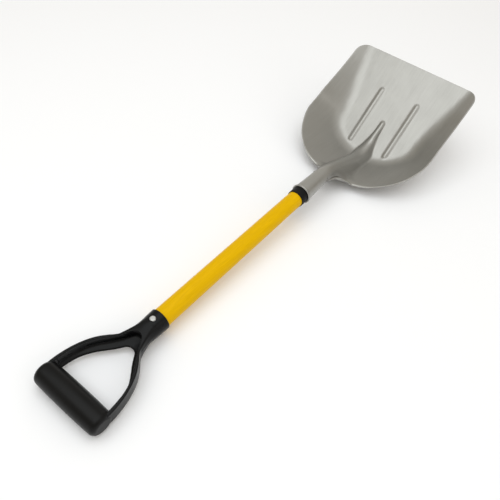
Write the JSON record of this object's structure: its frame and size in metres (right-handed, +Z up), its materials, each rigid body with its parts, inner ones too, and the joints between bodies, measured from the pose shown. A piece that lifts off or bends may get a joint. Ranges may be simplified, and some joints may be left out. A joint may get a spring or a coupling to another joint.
{
  "type": "roofing shovel",
  "caption": "Short roofing shovel: deep pressed aluminium scoop with ribs and a frog, straight yellow fibreglass shaft, black moulded D-grip.",
  "frame": {"origin": "on the floor, below the middle of the shovel's length and on its centre plane", "axes": "+Y from the grip towards the blade, +Z up with the shovel lying face up, X across; the shaft rises about 3 degrees towards the blade"},
  "size_m": [0.307, 1.0518, 0.1594],
  "materials": {
    "aluminium_sheet": "satin",
    "yellow_fibreglass": "gloss",
    "core_wood": "plain",
    "black_nylon": "matte",
    "black_polypropylene": "satin",
    "black_grip": "satin",
    "rivet_aluminium": "bright",
    "rivet_steel": "satin"
  },
  "bodies": {
    "root": {"scoop_blade": "aluminium_sheet", "shaft_tube": "yellow_fibreglass", "shaft_core": "core_wood", "taper_plug": "black_nylon", "d_grip_frame": "black_polypropylene", "grip_sleeve": "black_grip", "grip_rivet": "rivet_aluminium", "grip_rivet_washer": "rivet_steel", "socket_rivet": "rivet_steel", "socket_rivet_washer": "rivet_steel"}
  },
  "joints": []
}
